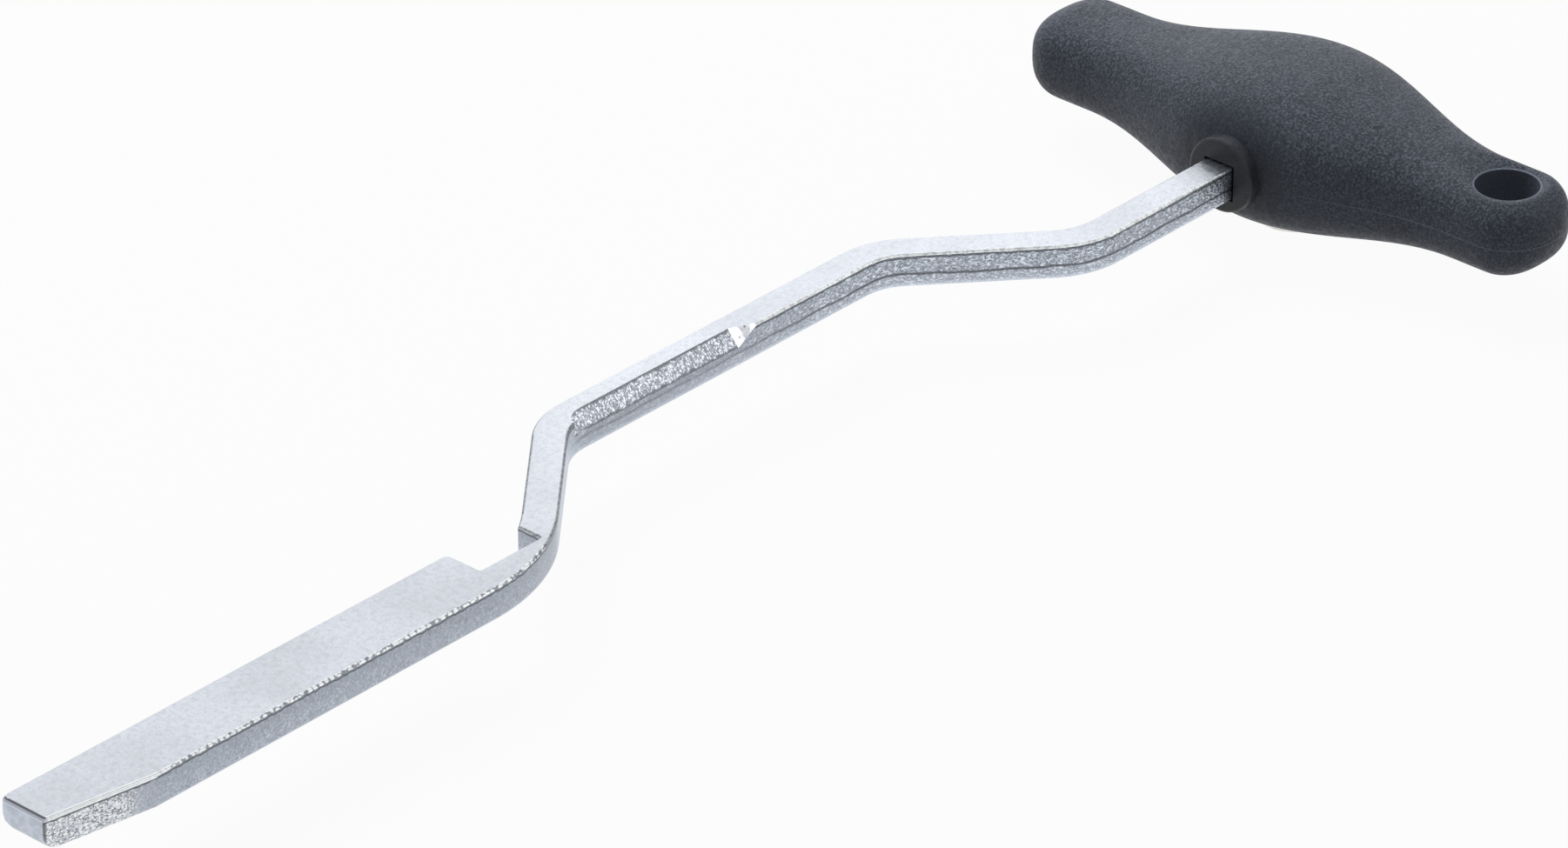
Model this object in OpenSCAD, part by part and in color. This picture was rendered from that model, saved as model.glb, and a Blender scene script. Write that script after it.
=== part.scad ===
// Cranked gearbox assembly lever: a flat pry blade cut from plate, with a clearance slot,
// a cranked bar and a moulded T-handle held on the tang by one screw.
// Millimetres. X runs from the blade tip to the handle, Y along the handle, Z up.

/* [Bar] */
// Thickness of the steel plate
bar_t = 6; // [5:0.25:7]
// Width of the cranked bar
bar_w = 5.7; // [5:0.1:6.5]
// From the handle axis to the corner between shaft and jog
shaft_len = 54.7; // [50:0.1:65]
// Slope of the jog against the shaft, in degrees
jog_angle = 41.5; // [35:0.5:48]
// Sideways offset of the middle run from the shaft axis
crank_offset = 22.8; // [20:0.1:26]
// Middle run, corner to corner
mid_len = 76.2; // [66:0.1:90]
// Slope of the leg against the blade, in degrees
leg_angle = 40; // [37:0.5:43]
// Centreline radius of the bends at both ends of the middle run
bend_r = 13; // [10:0.5:14]
// Centreline radius of the bend between jog and shaft
shaft_bend_r = 14; // [10:0.5:16]

/* [Blade] */
// Blade, from the tip to the shoulder of the slot
blade_len = 93; // [80:0.5:110]
// Width of the blade
blade_w = 12.6; // [11.8:0.1:13.4]
// Radius of the front edge where the blade turns into the leg
front_r = 36; // [32:0.5:40]
// Length of the clearance slot along the blade
slot_len = 13.3; // [11:0.1:15]
// Depth of the slot below the blade's back edge
slot_d = 7.1; // [6:0.1:7.6]
// Metal left between the slot's inner corner and the front edge
neck_w = 1.5; // [1.2:0.1:2.2]
// Radius in the slot's two inner corners
slot_corner_r = 0.4; // [0.2:0.1:0.8]
// Radius on the shoulder's outer corner
shoulder_r = 1.2; // [0.5:0.1:2]
// Length of the slanting cut at the tip's front edge
tip_cut_len = 19.7; // [12:0.1:26]
// How far that cut narrows the tip
tip_cut_d = 3.3; // [2:0.1:5]
// Radius of the tip's front corner
tip_front_r = 0.5; // [0.3:0.1:1]
// Radius of the tip's back corner
tip_back_r = 1.2; // [0.5:0.1:2]
// Rounding on the tip's upper edge
tip_top_r = 0.8; // [0.4:0.1:1]
// Rounding under the tip
tip_nose_r = 3.3; // [2:0.1:4.2]

/* [Ground bevel] */
// From the corner at the leg to the start of the bevel
bevel_start = 1.7; // [1:0.1:6]
// Length of the bevel on the middle run
bevel_len = 38.5; // [27:0.5:47]
// Length of the bevel's rounded start
bevel_nose = 4.6; // [2:0.1:6]
// How far the bevel reaches across the top face
bevel_across = 2.3; // [1.5:0.1:2.8]
// How far the bevel reaches down the front face
bevel_down = 2.7; // [1.5:0.1:3.2]
// Slope of the run-out at the bevel's end, in degrees
runout_angle = 20; // [15:1:45]

/* [Grip] */
// Length of the T-handle
handle_len = 109; // [100:0.5:125]
// Height of the handle axis above the middle of the plate
handle_rise = 0.5; // [0:0.1:1]
// Width of the grip at its middle
hub_w = 37; // [32:0.5:40]
// Height of the grip at its middle
hub_h = 26.8; // [24:0.2:30]
// How far the grip's middle stands higher than its ends
hub_rise = 0.5; // [0:0.1:1]
// Width of the grip's ends
end_w = 19.8; // [18:0.2:22]
// Height of the grip's ends
end_h = 15.8; // [14:0.2:18]
// Length of the domed caps on the grip's ends
cap_len = 8.2; // [6:0.2:10]
// Distance from the middle over which the grip swells
hub_reach = 39; // [34:0.5:44]
// Squareness of the grip's section, 2 is an ellipse
section_power = 2.7; // [2.2:0.1:3.4]
// Diameter of the hanging hole
hang_d = 10.8; // [8:0.2:12]
// From the end of the grip to the centre of the hanging hole
hang_inset = 10.2; // [9:0.1:13]
// Rounding of the hanging hole's rims
rim_r = 1.7; // [0.8:0.1:2]
// How far the rims start below the top of the grip's end
rim_drop = 0.4; // [0:0.1:0.6]

/* [Core] */
// Diameter of the collar round the shaft
collar_d = 13.3; // [12:0.1:14]
// How far the collar stands out of the grip
collar_len = 1.8; // [1:0.1:4]
// Diameter of the core's barrel inside the grip
barrel_d = 16; // [15:0.5:18]
// From the grip's front to the barrel
barrel_setback = 4; // [3:0.5:6]
// Length of the core's cross arm
arm_len = 64; // [50:1:66]
// Diameter of the core's cross arm
arm_d = 8.5; // [7:0.5:9]
// Gap between the shaft and its socket, each side
socket_gap = 0.3; // [0.1:0.05:0.5]
// How far the tang runs past the handle axis
tang_past = 7; // [5:0.5:10]
// Wall behind the end of the tang
socket_wall = 4; // [2:0.5:5]

/* [Screw] */
// Diameter of the lock screw
screw_d = 3; // [2.5:0.1:3.4]
// Diameter of the screw's flange
flange_d = 8; // [7:0.2:9]
// Thickness of the flange
flange_t = 1; // [0.8:0.1:1.4]
// Height of the whole screw head
head_h = 3.2; // [2.6:0.1:4]
// Diameter of the head above the flange
head_d = 6; // [5:0.2:6.6]
// Width across the flats of the hexagon socket
key_af = 2.5; // [2:0.1:3]
// Depth of the hexagon socket
key_d = 1.6; // [1:0.1:2]
// Depth of the seat sunk into the grip for the flange
seat_d = 0.6; // [0.4:0.1:1.2]
// Gap round the flange in its seat, each side
seat_gap = 0.3; // [0.1:0.05:0.5]
// Gap round the screw in its holes, each side
screw_gap = 0.15; // [0.05:0.05:0.3]
// Metal left in the tang above the screw's end
screw_cover = 1; // [0.5:0.1:2]

/* [Hidden] */
$fn = 64;

// Overshoot of the cuts, and the largest turn between two points of an arc
cut = 2;
arc_step = 4;

// Corners of the bar's centreline, counted from the handle axis
half_bar = bar_w / 2;
half_blade = blade_w / 2;
shaft_corner_x = -shaft_len;
jog_corner_x = shaft_corner_x - crank_offset / tan(jog_angle);
leg_corner_x = jog_corner_x - mid_len;

// Centres of the three bends
shaft_bend = [shaft_corner_x + shaft_bend_r * tan(jog_angle / 2), shaft_bend_r];
jog_bend = [jog_corner_x - bend_r * tan(jog_angle / 2), crank_offset - bend_r];
leg_bend = [leg_corner_x + bend_r * tan(leg_angle / 2), crank_offset - bend_r];

// Centre of the front edge's arc, tangent to the blade and to the leg
neck_y = front_r - half_blade;
leg_distance = crank_offset * cos(leg_angle) - leg_corner_x * sin(leg_angle);
neck_x = (neck_y * cos(leg_angle) - leg_distance + half_bar - front_r) / sin(leg_angle);
neck_centre = [neck_x, neck_y];
neck_back_r = front_r - bar_w;

// Slot and blade
slot_y = half_blade - slot_d;
wall_x = neck_x + sqrt(pow(front_r - neck_w, 2) - pow(neck_y - slot_y, 2));
shoulder_x = wall_x - slot_len;
tip_x = shoulder_x - blade_len;

// Slanting cut at the tip, and the centres of the tip's two rounded corners
cut_slope = atan2(tip_cut_d, tip_cut_len);
front_corner = [tip_x + tip_front_r, tip_cut_d - half_blade + tip_front_r * tan(45 - cut_slope / 2)];
back_corner = [tip_x + tip_back_r, half_blade - tip_back_r];

// Bevel strip
bevel_w = norm([bevel_across, bevel_down]);
bevel_tilt = atan2(bevel_down, bevel_across);
bevel_x = leg_corner_x + bevel_start;
bevel_steps = 24;

// Handle
half_len = handle_len / 2;
cap_y = half_len - cap_len;
front_face_x = -hub_w / 2;
collar_x = front_face_x - collar_len;
hang_y = hang_inset - half_len;
rim_z = end_h / 2 - rim_r - rim_drop;

// Screw
seat_z = handle_rise + hub_rise + seat_d - hub_h / 2;
head_z = seat_z - head_h;
screw_end_z = bar_t / 2 - screw_cover;

// Origin: middle of the whole tool, at its lowest point
mid_x = (tip_x + hub_w / 2) / 2;
base_z = head_z;

// Stations along the grip: two domed caps and the swelling between them
cap_steps = 7;
body_steps = 30;
ring_points = 40;
cap_angles = [for (i = [1 : cap_steps - 1]) 90 * i / cap_steps];
stations = concat(
    [for (a = cap_angles) -cap_y - cap_len * cos(a)],
    [for (i = [0 : body_steps]) cap_y * (2 * i / body_steps - 1)],
    [for (a = cap_angles) cap_y + cap_len * sin(a)]
);

function swell(y) = abs(y) < hub_reach ? 0.5 + 0.5 * cos(180 * y / hub_reach) : 0;
function dome(y) = abs(y) > cap_y ? sqrt(1 - pow((abs(y) - cap_y) / cap_len, 2)) : 1;
function half_w(y) = dome(y) * (end_w + (hub_w - end_w) * swell(y)) / 2;
function half_h(y) = dome(y) * (end_h + (hub_h - end_h) * swell(y)) / 2;
function squared(v) = sign(v) * pow(abs(v), 2 / section_power);
function grip_ring(y) = [for (i = [0 : ring_points - 1]) let (a = 360 * i / ring_points)
    [half_w(y) * squared(cos(a)), y, half_h(y) * squared(sin(a)) + hub_rise * swell(y)]];

module place() {
    translate([-mid_x, 0, -base_z]) children();
}

// Points along an arc, with both ends
function arc(centre, r, from, to) = let (steps = ceil(abs(to - from) / arc_step))
    [for (i = [0 : steps]) let (a = from + (to - from) * i / steps) centre + r * [cos(a), sin(a)]];

// Front edge from the tip to the tang, then the back edge with its slot and shoulder
function bar_outline() = concat(
    arc(front_corner, tip_front_r, 180, 270 - cut_slope),
    [[tip_x + tip_cut_len, -half_blade]],
    arc(neck_centre, front_r, 270, 270 + leg_angle),
    arc(leg_bend, bend_r - half_bar, 90 + leg_angle, 90),
    arc(jog_bend, bend_r - half_bar, 90, 90 - jog_angle),
    arc(shaft_bend, shaft_bend_r + half_bar, 270 - jog_angle, 270),
    [[tang_past, -half_bar], [tang_past, half_bar]],
    arc(shaft_bend, shaft_bend_r - half_bar, 270, 270 - jog_angle),
    arc(jog_bend, bend_r + half_bar, 90 - jog_angle, 90),
    arc(leg_bend, bend_r + half_bar, 90, 90 + leg_angle),
    arc(neck_centre, neck_back_r, 270 + leg_angle, 270 + asin((wall_x - neck_x) / neck_back_r)),
    arc([wall_x - slot_corner_r, slot_y + slot_corner_r], slot_corner_r, 360, 270),
    arc([shoulder_x + slot_corner_r, slot_y + slot_corner_r], slot_corner_r, 270, 180),
    arc([shoulder_x - shoulder_r, half_blade - shoulder_r], shoulder_r, 0, 90),
    arc(back_corner, tip_back_r, 90, 180)
);

// What is cut off to round a square corner, which points along +X and +Y
module corner_cut(r) {
    difference() {
        translate([-r, -r]) square(r + cut);
        translate([-r, -r]) circle(r);
    }
}

// Rounded end of the tip, drawn from the side
module tip_cut() {
    rotate([90, 0, 0])
        linear_extrude(2 * blade_w, center = true) {
            translate([tip_x, bar_t / 2]) mirror([1, 0]) corner_cut(tip_top_r);
            translate([tip_x, -bar_t / 2]) rotate(180) corner_cut(tip_nose_r);
        }
}

// Outline of the bevel on its own slope: half an ellipse, then a strip that is open on both sides
function bevel_outline() = concat(
    [[bevel_nose, -bar_t], [bevel_len, -bar_t], [bevel_len, bar_t], [bevel_nose, bar_t]],
    [for (i = [0 : bevel_steps]) let (a = 90 + 180 * i / bevel_steps)
        [bevel_nose * (1 + cos(a)), bevel_w / 2 * sin(a)]]
);

// Bevel ground on the middle run, with a sloping run-out
module bevel_cut() {
    translate([bevel_x, crank_offset - half_bar + bevel_across / 2, bar_t / 2 - bevel_down / 2])
        rotate([bevel_tilt, 0, 0]) {
            linear_extrude(bar_t) polygon(bevel_outline());
            translate([bevel_len, -bar_t, 0])
                rotate([0, -runout_angle, 0])
                    cube([2 * bar_t, 2 * bar_t, bar_t]);
        }
}

module lever_bar() {
    color("#d5dae1")
        place()
            difference() {
                linear_extrude(bar_t, center = true) polygon(bar_outline());
                tip_cut();
                bevel_cut();
                translate([0, 0, -bar_t / 2 - cut])
                    cylinder(h = screw_end_z + bar_t / 2 + cut, d = screw_d + 2 * screw_gap);
            }
}

// Outside of the core: collar and barrel along X, cross arm along Y
module core_form() {
    barrel_x = front_face_x + barrel_setback;
    translate([0, 0, handle_rise]) {
        rotate([0, 90, 0]) {
            translate([0, 0, collar_x]) cylinder(h = -collar_x, d = collar_d);
            translate([0, 0, barrel_x]) cylinder(h = tang_past + socket_wall - barrel_x, d = barrel_d);
        }
        rotate([90, 0, 0]) cylinder(h = arm_len, d = arm_d, center = true);
    }
}

module handle_core() {
    socket_w = bar_w + 2 * socket_gap;
    socket_h = bar_t + 2 * socket_gap;
    color("#2a2c30")
        place()
            difference() {
                core_form();
                translate([collar_x - cut, -socket_w / 2, -socket_h / 2])
                    cube([tang_past - collar_x + cut, socket_w, socket_h]);
                translate([0, 0, -barrel_d]) cylinder(h = barrel_d, d = screw_d + 2 * screw_gap);
            }
}

// Solid of the grip: rings of rounded sections, closed by a point at each end
module grip_form() {
    rings = len(stations);
    points = concat([for (y = stations) each grip_ring(y)], [[0, -half_len, 0], [0, half_len, 0]]);
    pole = rings * ring_points;
    top = (rings - 1) * ring_points;
    sides = [for (k = [0 : rings - 2], i = [0 : ring_points - 1])
        let (j = (i + 1) % ring_points, a = k * ring_points, b = a + ring_points)
        each [[a + i, b + i, b + j], [a + i, b + j, a + j]]];
    caps = [for (i = [0 : ring_points - 1])
        let (j = (i + 1) % ring_points)
        each [[pole, i, j], [pole + 1, top + j, top + i]]];
    translate([0, 0, handle_rise]) polyhedron(points, concat(sides, caps));
}

// Hanging hole with rounded rims at both ends
module hang_cut() {
    rim_edge = hang_d / 2 + rim_r;
    translate([0, hang_y, handle_rise]) {
        cylinder(h = hub_h, d = hang_d, center = true);
        for (side = [0, 180])
            rotate([side, 0, 0])
                rotate_extrude()
                    difference() {
                        translate([0, rim_z]) square([rim_edge, hub_h / 2]);
                        translate([rim_edge, rim_z]) circle(rim_r);
                    }
    }
}

module handle_grip() {
    color("#3d4046")
        place()
            difference() {
                grip_form();
                core_form();
                hang_cut();
                translate([0, 0, -hub_h]) cylinder(h = hub_h, d = screw_d + 2 * screw_gap);
                translate([0, 0, seat_z - hub_h]) cylinder(h = hub_h, d = flange_d + 2 * seat_gap);
            }
}

// Flange-head screw from below, with a domed head and a hexagon socket
module lock_screw() {
    dome_h = head_h - flange_t;
    dome_r = (pow(head_d / 2, 2) + pow(dome_h, 2)) / (2 * dome_h);
    color("#c8cac6")
        place()
            difference() {
                union() {
                    translate([0, 0, head_z]) cylinder(h = screw_end_z - head_z, d = screw_d);
                    translate([0, 0, seat_z - flange_t]) cylinder(h = flange_t, d = flange_d);
                    intersection() {
                        translate([0, 0, head_z + dome_r]) sphere(dome_r);
                        translate([0, 0, head_z]) cylinder(h = dome_h, d = flange_d);
                    }
                }
                translate([0, 0, head_z - cut])
                    cylinder(h = key_d + cut, d = key_af / cos(30), $fn = 6);
            }
}

lever_bar();
handle_core();
handle_grip();
lock_screw();
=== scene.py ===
import math
from types import SimpleNamespace

import bmesh
import bpy
from bpy.props import FloatProperty, FloatVectorProperty, PointerProperty
from mathutils import Matrix, Vector


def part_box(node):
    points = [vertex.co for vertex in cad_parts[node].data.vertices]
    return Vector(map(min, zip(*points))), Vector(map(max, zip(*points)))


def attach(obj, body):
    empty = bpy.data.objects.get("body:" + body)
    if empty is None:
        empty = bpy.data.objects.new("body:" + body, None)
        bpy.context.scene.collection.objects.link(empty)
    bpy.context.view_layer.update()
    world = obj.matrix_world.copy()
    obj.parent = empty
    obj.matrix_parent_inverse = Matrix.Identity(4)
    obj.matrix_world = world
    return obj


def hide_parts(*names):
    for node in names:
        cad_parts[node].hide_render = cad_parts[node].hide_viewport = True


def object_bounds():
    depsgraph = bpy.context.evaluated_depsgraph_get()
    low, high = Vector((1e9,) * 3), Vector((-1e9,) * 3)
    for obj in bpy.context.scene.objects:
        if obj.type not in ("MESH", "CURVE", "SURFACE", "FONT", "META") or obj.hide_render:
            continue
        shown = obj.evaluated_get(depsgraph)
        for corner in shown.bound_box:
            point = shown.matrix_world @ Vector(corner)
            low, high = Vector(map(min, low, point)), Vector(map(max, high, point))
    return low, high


bl_info = {
    "name": "Gearbox assembly lever",
    "version": (1, 0, 0),
    "blender": (4, 5, 0),
    "location": "View3D > Sidebar > Lever",
    "description": "Builds a cranked plate lever with a slotted blade and a moulded T-handle",
    "category": "Add Mesh",
}

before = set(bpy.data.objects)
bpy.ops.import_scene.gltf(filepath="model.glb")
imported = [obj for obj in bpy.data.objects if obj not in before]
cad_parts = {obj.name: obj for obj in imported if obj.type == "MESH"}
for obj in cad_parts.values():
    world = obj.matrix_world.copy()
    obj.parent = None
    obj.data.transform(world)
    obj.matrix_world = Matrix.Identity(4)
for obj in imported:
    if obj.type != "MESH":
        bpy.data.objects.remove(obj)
CAD_LOW, CAD_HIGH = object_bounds()

MM = 0.001
ALONG, ACROSS, UP = Vector((1, 0, 0)), Vector((0, 1, 0)), Vector((0, 0, 1))
RIGHT_ANGLE, FULL_TURN = math.pi / 2, 2 * math.pi
# Headings in plan, seen from above.
TO_BACK, TO_TIP, TO_FRONT, TO_HANDLE = (RIGHT_ANGLE * quarters for quarters in (1, 2, 3, 4))

BAR_LOW, BAR_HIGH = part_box("lever_bar")
CORE_LOW, CORE_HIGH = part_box("handle_core")
_, GRIP_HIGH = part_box("handle_grip")
SCREW_LOW, SCREW_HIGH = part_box("lock_screw")
CORE_MIDDLE = (CORE_LOW + CORE_HIGH) / 2
HANDLE = Vector(((SCREW_LOW.x + SCREW_HIGH.x) / 2, CORE_MIDDLE.y, CORE_MIDDLE.z))
THICKNESS = BAR_HIGH.z - BAR_LOW.z
PLATE_Z = (BAR_LOW.z + BAR_HIGH.z) / 2

# Vertices nearer than WELD become one, and slivers thinner than SLIVER are closed.
WELD, SLIVER = 0.001 * MM, 0.01 * MM
# How far a cutting tool stands out of the face that it cuts.
OVERSHOOT = 1 * MM
# Steps of a full turn in each round shape, and sections along the grip.
CORE_STEPS, HOLE_STEPS, SCREW_STEPS, DRILL_STEPS, NOSE_STEPS = 64, 96, 48, 32, 48
GRIP_STEPS, GRIP_SECTIONS = 96, 128

PLATE_FACE, CUT_SIDE, TIP_FACET, BEVEL_FACE, BROKEN_EDGE, RUN_OUT = range(6)


def length(name, description, mm):
    """A length that the user may change."""
    return FloatProperty(name=name, description=description, default=mm * MM, unit="LENGTH", precision=5)


def angle(name, description, degrees):
    """An angle that the user may change."""
    return FloatProperty(
        name=name, description=description, default=math.radians(degrees), subtype="ANGLE", unit="ROTATION"
    )


def colour(name, description, rgb):
    """A colour that the user may change."""
    return FloatVectorProperty(
        name=name, description=description, default=rgb, size=3, min=0, max=1, subtype="COLOR"
    )


class LeverBarSizes(bpy.types.PropertyGroup):
    """Sizes of the bar that the frame's box doesn't give"""

    bar_w: length("Bar width", "Width of the cranked bar", 5.7)
    shaft_len: length("Shaft", "From the handle axis to the corner between shaft and jog", 54.7)
    jog_angle: angle("Jog slope", "Slope of the jog against the shaft", 41.5)
    crank: length("Crank", "Sideways offset of the middle run", 22.8)
    mid_len: length("Middle run", "Middle run, corner to corner", 76.2)
    leg_angle: angle("Leg slope", "Slope of the leg against the blade", 40)
    bend_r: length("Bend radius", "Centreline radius at the ends of the middle run", 13)
    shaft_bend_r: length("Shaft bend radius", "Centreline radius between jog and shaft", 14)
    blade_w: length("Blade width", "Width of the blade", 12.6)
    front_r: length("Front radius", "Radius where the blade's front edge turns into the leg", 36)
    slot_len: length("Slot length", "Length of the clearance slot", 13.3)
    slot_d: length("Slot depth", "Depth of the slot below the blade's back edge", 7.1)
    neck_w: length("Neck", "Metal left between the slot and the front edge", 1.5)
    slot_corner_r: length("Slot corners", "Radius in the slot's inner corners", 0.4)
    shoulder_r: length("Shoulder radius", "Radius on the shoulder's outer corner", 1.2)
    tip_cut_len: length("Tip cut length", "Length of the slanting cut at the tip", 19.7)
    tip_cut_d: length("Tip cut depth", "How far that cut narrows the tip", 3.3)
    tip_front_r: length("Tip front corner", "Radius of the tip's front corner", 0.5)
    tip_back_r: length("Tip back corner", "Radius of the tip's back corner", 1.2)
    tip_top_r: length("Tip upper edge", "Rounding on the tip's upper edge", 0.8)
    tip_nose_r: length("Tip nose", "Rounding under the tip", 3.3)
    tip_swell: length("Tip corner growth", "How much the tip's corners grow towards the underside", 1.8)
    bevel_start: length("Bevel start", "From the corner at the leg to the ground bevel", 1.7)
    bevel_len: length("Bevel length", "Length of the ground bevel", 38.5)
    bevel_nose: length("Bevel nose", "Length of the bevel's rounded start", 4.6)
    bevel_across: length("Bevel across", "How far the bevel reaches across the top", 2.3)
    bevel_down: length("Bevel down", "How far the bevel reaches down the front", 2.7)
    runout: angle("Run-out slope", "Slope at the bevel's end", 20)
    facet_lip: length("Facet lip", "Rounding above the tip's slanting cut", 0.55)
    blade_lip: length("Blade lip", "Rounding of the blade's upper front edge", 0.5)
    keel_r: length("Keel", "Rounding of the blade's lower front edge", 1.2)
    edge_r: length("Upper edges", "Rounding of the other upper edges", 0.38)
    foot_r: length("Lower edges", "Rounding of the other lower edges", 0.4)


class LeverHandleSizes(bpy.types.PropertyGroup):
    """Sizes of the handle that the frame's box doesn't give"""

    end_w: length("End width", "Width of the grip's ends", 19.8)
    end_h: length("End height", "Height of the grip's ends", 15.8)
    hub_rise: length("Hump", "How far the grip's middle stands higher than its ends", 0.5)
    cap_len: length("Caps", "Length of the domed caps", 8.2)
    hub_reach: length("Swell", "Distance from the middle over which the grip swells", 39)
    power: FloatProperty(name="Squareness", description="Squareness of the grip's section", default=2.7)
    hang_d: length("Hanging hole", "Diameter of the hanging hole", 10.8)
    hang_inset: length("Hole inset", "From the end of the grip to the hole's centre", 10.2)
    dish_r: length("Dish radius", "Radius of the shallow dish round the hanging hole", 18)
    dish_drop: length("Dish depth", "From the top of the grip's end down to the hole's edge", 1.7)
    dish_slope: angle("Dish slope", "Slope of the dish where it runs out into the grip", 14)
    collar_d: length("Collar", "Diameter of the collar round the shaft", 13.3)
    collar_r: length("Collar edge", "Rounding of the collar's front edge", 0.8)
    barrel_d: length("Barrel", "Diameter of the core inside the grip", 16)
    barrel_setback: length("Barrel setback", "From the grip's front to the barrel", 4)
    core_edge_r: length("Core edges", "Rounding of the core's other edges", 0.35)
    arm_d: length("Cross arm", "Diameter of the core's cross arm", 8.5)
    socket_gap: length("Socket gap", "Gap between shaft and socket, each side", 0.3)
    screw_d: length("Screw", "Diameter of the lock screw", 3)
    head_h: length("Screw head", "Height of the screw's low head", 3.2)
    head_d: length("Head width", "Diameter of the screw's head", 13.2)
    head_r: length("Head edge", "Rounding of the head's lower edge", 1.0)
    screw_edge_r: length("Screw edges", "Rounding of the screw's other edges", 0.15)
    key_af: length("Key", "Width across the flats of the hexagon socket", 4)
    key_d: length("Key depth", "Depth of the hexagon socket", 1.6)
    seat_gap: length("Seat gap", "Gap round the head in its seat", 0.3)
    screw_gap: length("Screw gap", "Gap round the screw in its holes", 0.15)
    grain: length("Mesh grain", "Face size of the finished grip", 0.5)


class LeverFinishes(bpy.types.PropertyGroup):
    """Colours of the lever's finishes"""

    plate: colour("Plated face", "Bright satin plating on the flat faces", (0.80, 0.828, 0.89))
    cut: colour("Cut side", "Plating over the rough cut sides", (0.415, 0.45, 0.508))
    ground: colour("Ground facet", "Plating over the coarsely ground facets", (0.62, 0.645, 0.71))
    # The edge colour is the dark base of the painted shade and painted highlights along the rounded upper
    # edges.
    edge: colour("Broken edge", "Thin dark plating along the edges", (0.22, 0.23, 0.26))
    grip: colour("Grip", "Grained plastic of the grip", (0.054, 0.061, 0.077))
    core: colour("Core", "Smooth plastic of the collar", (0.026, 0.0285, 0.034))
    screw: colour("Screw", "Zinc on the lock screw", (0.72, 0.71, 0.68))


class LeverStageSettings(bpy.types.PropertyGroup):
    """Where the camera stands"""

    azimuth: angle("Camera azimuth", "0 looks along +Y", -47.86)
    elevation: angle("Camera elevation", "Above the horizon", 29.77)
    distance: length("Camera distance", "From the target", 1274.8)
    lens: FloatProperty(name="Lens", description="Focal length", default=187.19, unit="CAMERA")


def chain(bm, points):
    """Vertices at points, each joined to the one before."""
    verts = [bmesh.ops.create_vert(bm, co=points[0])["vert"][0]]
    for point in points[1:]:
        made = bmesh.ops.extrude_vert_indiv(bm, verts=verts[-1:])["verts"][0]
        made.co = point
        verts.append(made)
    return verts


def raised(bm, way):
    """Draws the faces out into a solid."""
    made = bmesh.ops.extrude_face_region(bm, geom=bm.faces[:])
    moved = [item for item in made["geom"] if isinstance(item, bmesh.types.BMVert)]
    bmesh.ops.translate(bm, verts=moved, vec=way)


def block(low, high):
    """Box between two corners."""
    bm = bmesh.new()
    bmesh.ops.create_cube(bm, size=1)
    bmesh.ops.scale(bm, verts=bm.verts, vec=high - low)
    bmesh.ops.translate(bm, verts=bm.verts, vec=(low + high) / 2)
    return bm


def finish_mesh(bm, name):
    """Mesh of a finished bmesh, with its faces outwards."""
    bmesh.ops.recalc_face_normals(bm, faces=bm.faces)
    mesh = bpy.data.meshes.new(name)
    bm.to_mesh(mesh)
    bm.free()
    return mesh


def placed(name, data):
    """New object in the scene."""
    made = bpy.data.objects.new(name, data)
    bpy.context.scene.collection.objects.link(made)
    return made


def evaluated(mesh, setup):
    """Mesh after the modifiers that setup puts on an object of it."""
    work = placed("work", mesh)
    setup(work)
    depsgraph = bpy.context.evaluated_depsgraph_get()
    made = bpy.data.meshes.new_from_object(work.evaluated_get(depsgraph))
    bpy.data.objects.remove(work)
    bpy.data.meshes.remove(mesh)
    return made


def joined(mesh, other, operation):
    """Mesh after a boolean with another mesh, which is used up."""
    tool = placed("tool", other)

    def setup(work):
        boolean = work.modifiers.new("Boolean", "BOOLEAN")
        boolean.operation = operation
        boolean.solver = "EXACT"
        boolean.object = tool

    made = evaluated(mesh, setup)
    bpy.data.objects.remove(tool)
    bpy.data.meshes.remove(other)
    return made


def cut(mesh, *tools):
    """Mesh after tools are taken away from it."""
    for tool in tools:
        mesh = joined(mesh, tool, "DIFFERENCE")
    return mesh


def cleaned(mesh, flat_angle=None):
    """Mesh without the slivers that a boolean leaves, with flat faces joined if an angle is given."""
    bm = bmesh.new()
    bm.from_mesh(mesh)
    bmesh.ops.remove_doubles(bm, verts=bm.verts, dist=SLIVER)
    bmesh.ops.dissolve_degenerate(bm, edges=bm.edges, dist=SLIVER)
    if flat_angle:
        bmesh.ops.dissolve_limit(bm, verts=bm.verts, edges=bm.edges, angle_limit=flat_angle)
    else:
        bmesh.ops.triangulate(bm, faces=bm.faces)
        alike = {}
        for face in bm.faces:
            alike.setdefault(frozenset(face.verts), []).append(face)
        folded = [face for faces in alike.values() if len(faces) > 1 for face in faces]
        bmesh.ops.delete(bm, geom=folded, context="FACES")
    bm.to_mesh(mesh)
    bm.free()
    return mesh


def add_piece(name, mesh, materials, node):
    """Puts a finished mesh into the scene in place of its CAD node."""
    mesh.name = name
    for material in materials:
        mesh.materials.append(material)
    piece = placed(name, mesh)
    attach(piece, "root")
    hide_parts(node)
    return piece


def shade(rgb, factor):
    """A colour made lighter or darker."""
    return (*(min(1.0, channel * factor) for channel in rgb), 1.0)


def add_node(tree, kind, inputs=None, **settings):
    """Node with its settings, and with each input linked or set."""
    made = tree.nodes.new(kind)
    for key, value in settings.items():
        setattr(made, key, value)
    for key, value in (inputs or {}).items():
        if isinstance(value, bpy.types.NodeSocket):
            tree.links.new(value, made.inputs[key])
        else:
            made.inputs[key].default_value = value
    return made


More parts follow.
